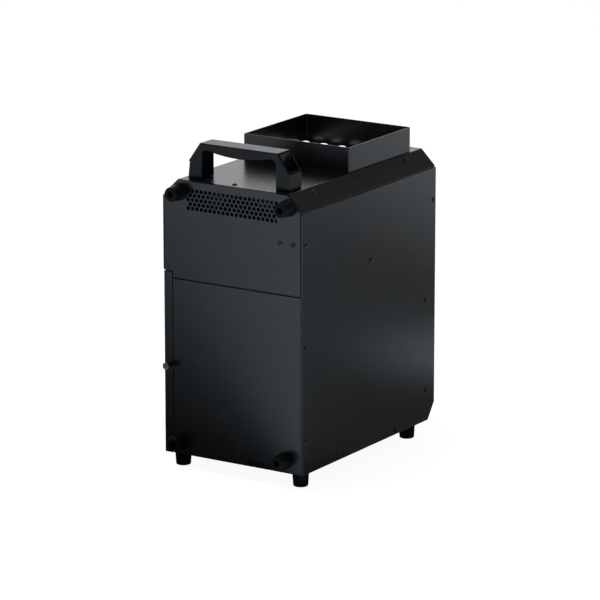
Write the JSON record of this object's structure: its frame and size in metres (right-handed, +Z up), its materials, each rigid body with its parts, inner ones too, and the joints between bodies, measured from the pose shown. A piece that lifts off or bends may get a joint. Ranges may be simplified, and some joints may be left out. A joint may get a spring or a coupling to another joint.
{
  "type": "fog machine",
  "caption": "Upright fog machine in a black sheet-metal case, blowing fog up through a lit open chute, with a carrying handle, an access door for the fluid and rubber feet below and behind.",
  "frame": {"origin": "middle of the bounding box's bottom, on the surface that the bottom feet stand on", "axes": "+Z up; -Y out of the rear face, which carries the air intake, four feet and the handle's side; +Y out of the face with the controls; +X to the right when looking at the rear face"},
  "size_m": [0.254, 0.42, 0.5098],
  "materials": {
    "black_powder_coat": "semi-gloss powder coat, slightly textured",
    "grey_coat": "satin",
    "black_plastic": "satin moulded plastic",
    "black_gloss_plastic": "polished",
    "black_rubber": "matt moulded rubber",
    "zinc_steel": "zinc plated",
    "black_steel": "black oxide, slightly shiny",
    "aluminium": "as cast",
    "brass": "satin",
    "copper": "bright copper pipe",
    "led_lens": "bright, lit from behind",
    "light_board": "black solder mask",
    "circuit_board": "green solder mask",
    "heater_wool": "woven glass fibre",
    "container_plastic": "translucent natural polythene",
    "silicone_hose": "clear silicone",
    "display_glass": "polished window"
  },
  "bodies": {
    "case": {"chassis_tray": "black_powder_coat", "rear_panel_upper": "black_powder_coat", "top_plate": "black_powder_coat", "side_cover_right": "black_powder_coat", "side_cover_left": "black_powder_coat", "front_panel": "black_powder_coat", "inner_frame": "grey_coat", "bay_shelf": "grey_coat", "bay_divider": "grey_coat", "hinge_frame_leaf": "black_steel", "hinge_pin": "zinc_steel", "chute_collar": "black_powder_coat", "led_board": "light_board", "led_lens_array": "led_lens", "handle": "black_plastic", "handle_screw_left": "black_steel", "handle_screw_right": "black_steel", "bottom_foot_rear_left": "black_rubber", "bottom_foot_front_left": "black_rubber", "bottom_foot_rear_right": "black_rubber", "bottom_foot_front_right": "black_rubber", "back_foot_lower_left": "black_rubber", "back_foot_upper_left": "black_rubber", "back_foot_lower_right": "black_rubber", "back_foot_upper_right": "black_rubber", "fluid_container": "container_plastic", "intake_hose": "silicone_hose", "fluid_pump": "black_plastic", "pressure_pipe": "copper", "heater_core": "aluminium", "heater_jacket": "heater_wool", "heater_bracket": "zinc_steel", "fog_nozzle": "brass", "cooling_fan_frame": "black_plastic", "control_plate": "black_gloss_plastic", "display_window": "display_glass", "control_board": "circuit_board", "signal_in_socket": "black_plastic", "signal_out_socket": "black_plastic", "signal_in_contacts": "brass", "power_inlet": "black_plastic", "inlet_contacts": "brass", "fuse_holder": "black_plastic", "power_switch_frame": "black_plastic", "power_supply": "aluminium"},
    "door": {"access_door": "black_powder_coat", "hinge_door_leaf": "black_steel"},
    "thumbscrew_carrier": {"thumbscrew_washer": "zinc_steel"},
    "thumbscrew": {"door_thumbscrew": "black_steel"},
    "cap": {"container_cap": "black_plastic"},
    "fan_rotor": {"cooling_fan_rotor": "black_plastic"},
    "rocker": {"power_rocker": "black_gloss_plastic"},
    "menu_button": {"button_menu": "black_plastic"},
    "down_button": {"button_down": "black_plastic"},
    "up_button": {"button_up": "black_plastic"},
    "enter_button": {"button_enter": "black_plastic"},
    "fuse_cap_body": {"fuse_cap": "black_plastic"}
  },
  "joints": [
    {"name": "door_hinge", "type": "hinge", "parent": "case", "child": "door", "pos_m": [-0.124, 0.026, 0.1675], "axis": [0, 0, -1], "range_deg": [0, 110]},
    {"name": "thumbscrew_travel", "type": "slide", "parent": "case", "child": "thumbscrew_carrier", "axis": [0, -1, 0], "range_m": [0, 0.0024]},
    {"name": "thumbscrew_turn", "type": "hinge", "parent": "thumbscrew_carrier", "child": "thumbscrew", "pos_m": [-0.1103, -0.186, 0.164], "axis": [0, -1, 0], "range_deg": [0, 1080]},
    {"name": "cap_turn", "type": "hinge", "parent": "case", "child": "cap", "pos_m": [-0.05, -0.074, 0.248], "axis": [0, 0, 1], "range_deg": [0, 540]},
    {"name": "fan_spin", "type": "hinge", "parent": "case", "child": "fan_rotor", "pos_m": [0, -0.156, 0.3748], "axis": [0, 1, 0], "continuous": true},
    {"name": "switch_rock", "type": "hinge", "parent": "case", "child": "rocker", "pos_m": [-0.05, 0.196, 0.133], "axis": [-1, 0, 0], "range_deg": [0, 18]},
    {"name": "menu_press", "type": "slide", "parent": "case", "child": "menu_button", "axis": [0, -1, 0], "range_m": [0, 0.001], "stiffness_N_per_m": 800},
    {"name": "down_press", "type": "slide", "parent": "case", "child": "down_button", "axis": [0, -1, 0], "range_m": [0, 0.001], "stiffness_N_per_m": 800},
    {"name": "up_press", "type": "slide", "parent": "case", "child": "up_button", "axis": [0, -1, 0], "range_m": [0, 0.001], "stiffness_N_per_m": 800},
    {"name": "enter_press", "type": "slide", "parent": "case", "child": "enter_button", "axis": [0, -1, 0], "range_m": [0, 0.001], "stiffness_N_per_m": 800},
    {"name": "fuse_cap_turn", "type": "hinge", "parent": "case", "child": "fuse_cap_body", "pos_m": [0, 0.2003, 0.133], "axis": [0, 1, 0], "range_deg": [0, 45]}
  ],
  "couplings": [
    {"joint": "thumbscrew_turn", "follows": "thumbscrew_travel", "rad_per_m": 7854}
  ]
}
